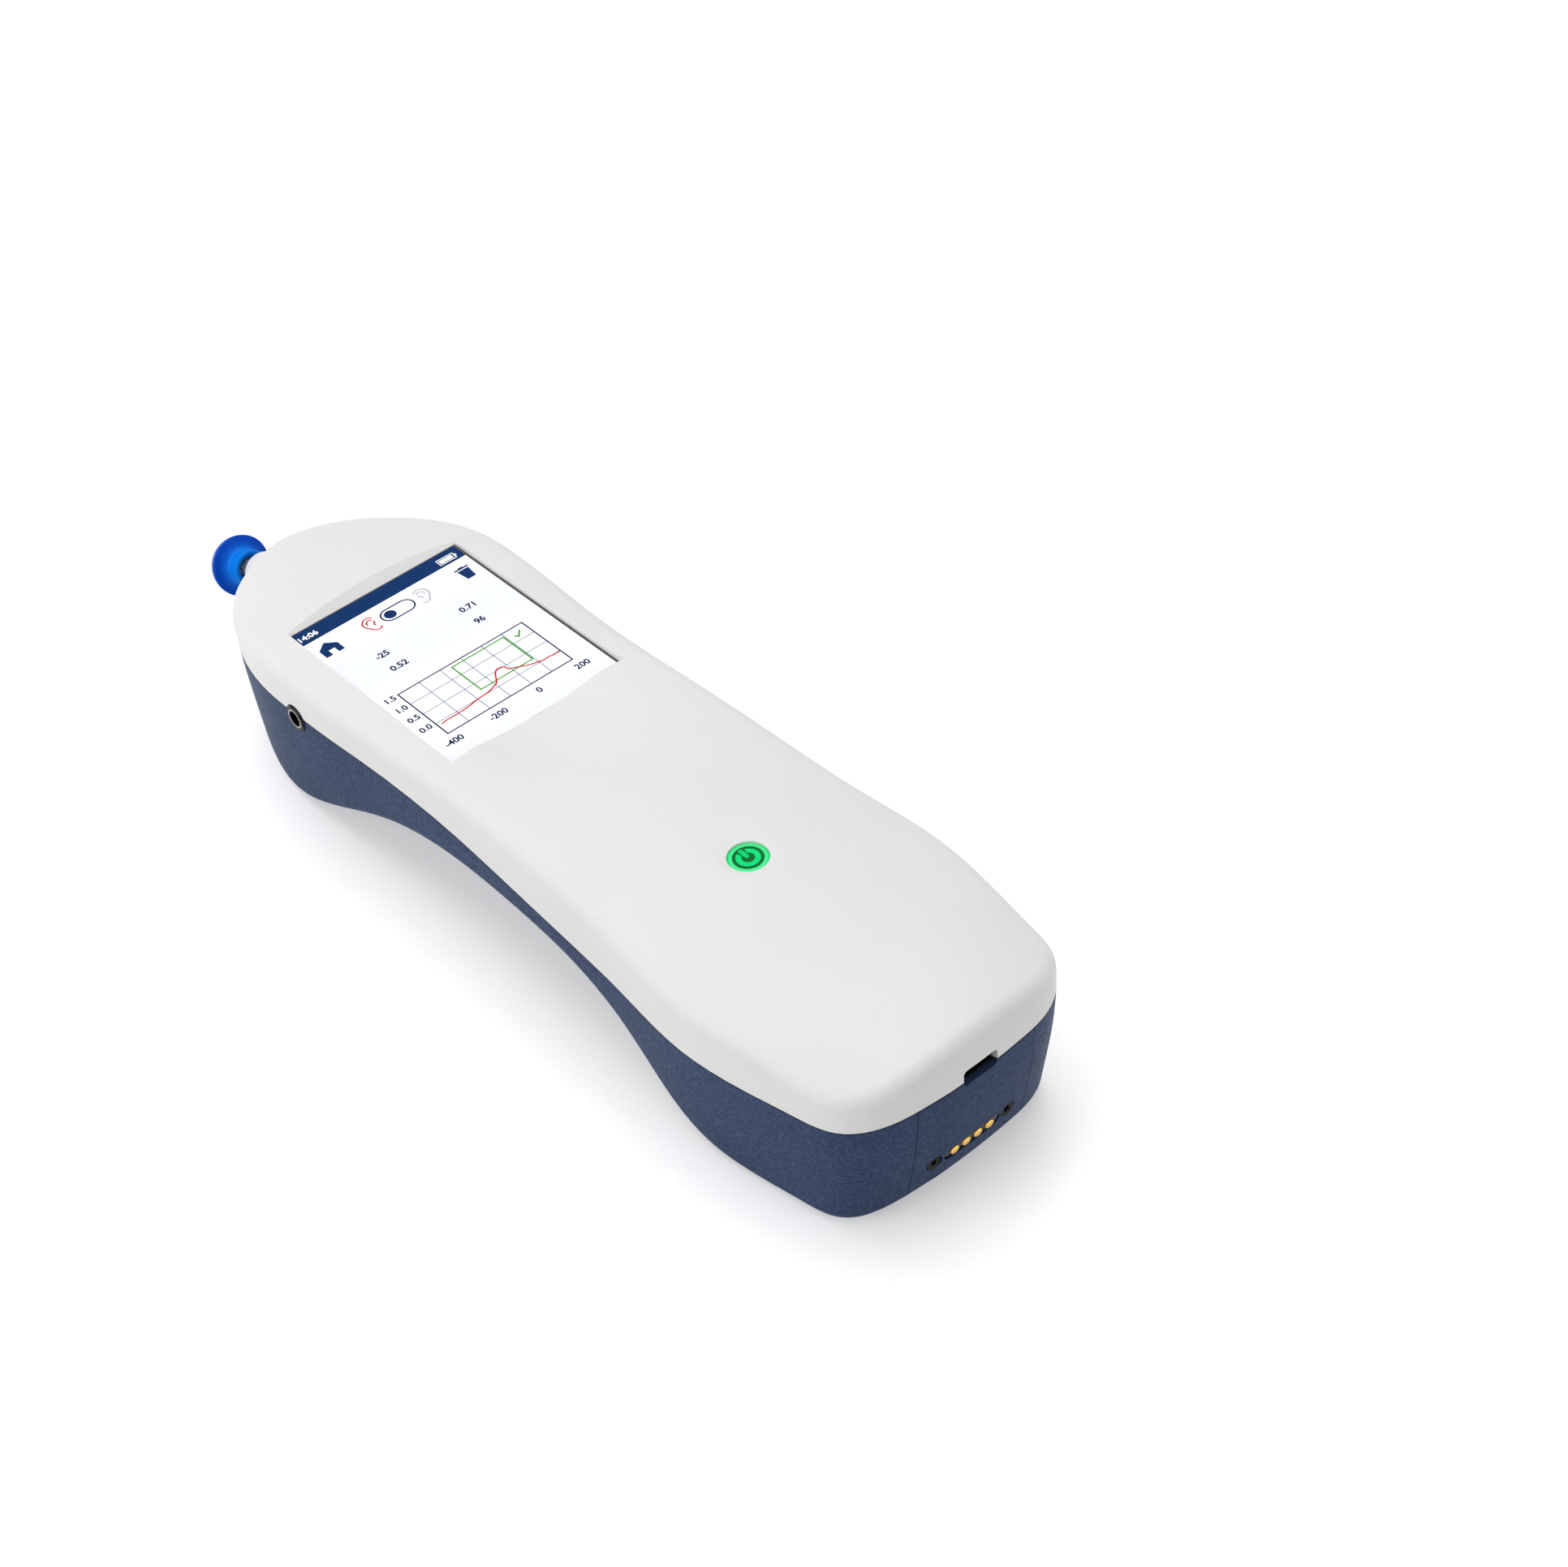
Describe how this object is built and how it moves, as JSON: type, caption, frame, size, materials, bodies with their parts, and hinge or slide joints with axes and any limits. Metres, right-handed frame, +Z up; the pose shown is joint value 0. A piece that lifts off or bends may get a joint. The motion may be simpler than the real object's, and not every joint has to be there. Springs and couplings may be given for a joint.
{
  "type": "handheld tympanometer",
  "caption": "Hand-held ear tester with a waisted two-tone case, a touch screen on its back, a lit power button, a headphone socket and an angled probe that ends in a soft ear tip.",
  "frame": {"origin": "centre of the bounding box, on the table it lies on", "axes": "+Y along the handle from the tail to the probe, +Z up out of the screen, +X to the right when the screen is read with the probe away from the reader"},
  "size_m": [0.0666, 0.2566, 0.0437],
  "materials": {
    "cover_shell": "satin off-white, very fine texture",
    "lower_shell": "fine-textured slate blue",
    "seal_rubber": "matt",
    "screw_steel": "plated",
    "contact_black": "matt black",
    "contact_gold": "gold plated",
    "flex_film": "amber film",
    "cell_metal": "bare",
    "pack_sleeve": "shrink film",
    "board_laminate": "solder mask",
    "shell_steel": "tinned",
    "cover_glass": "clear, polished",
    "display_stack": "lit picture",
    "frame_plastic": "moulded",
    "button_green": "lit green rim round a dark disc",
    "jack_black": "gloss black",
    "pump_clear": "clear",
    "tube_rubber": "milky, soft",
    "sensor_metal": "blasted",
    "valve_brass": "turned",
    "nose_plastic": "smooth white",
    "tip_clear": "clear",
    "ear_rubber": "soft royal blue"
  },
  "bodies": {
    "case": {"air_tube": "tube_rubber", "battery_cells": "cell_metal", "battery_pads": "contact_gold", "battery_pins": "contact_gold", "battery_sleeve": "pack_sleeve", "board_chips": "contact_black", "board_screws": "screw_steel", "bottom_housing": "lower_shell", "case_screws": "screw_steel", "cell_holder": "contact_black", "charge_flex": "flex_film", "charge_pins": "contact_gold", "clock_cell": "cell_metal", "cylinder_head": "pump_clear", "display_flex": "flex_film", "display_frame": "frame_plastic", "display_panel": "display_stack", "display_socket": "contact_black", "glass_foam": "seal_rubber", "jack_body": "contact_black", "jack_ring": "jack_black", "main_board": "board_laminate", "manifold": "frame_plastic", "microphone": "sensor_metal", "port_shell": "shell_steel", "port_tongue": "contact_black", "power_switch": "contact_black", "pressure_sensor": "sensor_metal", "probe_back_cap": "frame_plastic", "probe_body": "frame_plastic", "probe_flex": "flex_film", "probe_gasket": "seal_rubber", "pump_bracket": "frame_plastic", "pump_cylinder": "pump_clear", "pump_motor": "shell_steel", "pump_tube": "tube_rubber", "receiver": "sensor_metal", "relief_valve": "valve_brass", "seam_gasket": "seal_rubber", "shield_can": "shell_steel", "top_cover": "cover_shell", "touch_glass": "cover_glass"},
    "power_button": {"power_button": "button_green"},
    "probe_tip": {"probe_tip": "tip_clear"},
    "nose_cone": {"probe_nut": "nose_plastic"},
    "ear_tip": {"ear_tip": "ear_rubber"},
    "battery_door": {"battery_door": "lower_shell", "door_screws": "screw_steel", "contact_block": "contact_black", "charge_contacts": "contact_gold"},
    "lead_screw": {"lead_screw": "screw_steel"},
    "piston": {"pump_piston": "frame_plastic", "piston_seal": "seal_rubber"}
  },
  "joints": [
    {"name": "button_press", "type": "slide", "parent": "case", "child": "power_button", "axis": [0, 0, -1], "range_m": [0, 0.00035], "stiffness_N_per_m": 800},
    {"name": "tip_slide", "type": "slide", "parent": "case", "child": "probe_tip", "axis": [0, 0.9432, -0.3322], "range_m": [0, 0.005]},
    {"name": "nose_turn", "type": "hinge", "parent": "probe_tip", "child": "nose_cone", "pos_m": [0, 0.1014, 0.02077], "axis": [0, 0.9432, -0.3322], "range_deg": [0, 1800]},
    {"name": "ear_tip_pull", "type": "slide", "parent": "probe_tip", "child": "ear_tip", "axis": [0, 0.9432, -0.3322], "range_m": [0, 0.01]},
    {"name": "door_slide", "type": "slide", "parent": "case", "child": "battery_door", "axis": [0, -1, 0], "range_m": [0, 0.06]},
    {"name": "screw_turn", "type": "hinge", "parent": "case", "child": "lead_screw", "pos_m": [0.009, 0.04772, 0.024], "axis": [0, 1, 0], "range_deg": [-720, 720]},
    {"name": "piston_slide", "type": "slide", "parent": "case", "child": "piston", "axis": [0, 1, 0], "range_m": [-0.004, 0.004]}
  ],
  "couplings": [
    {"joint": "screw_turn", "follows": "piston_slide", "rad_per_m": -3141.6},
    {"joint": "nose_turn", "follows": "tip_slide", "rad_per_m": 6283.2}
  ]
}
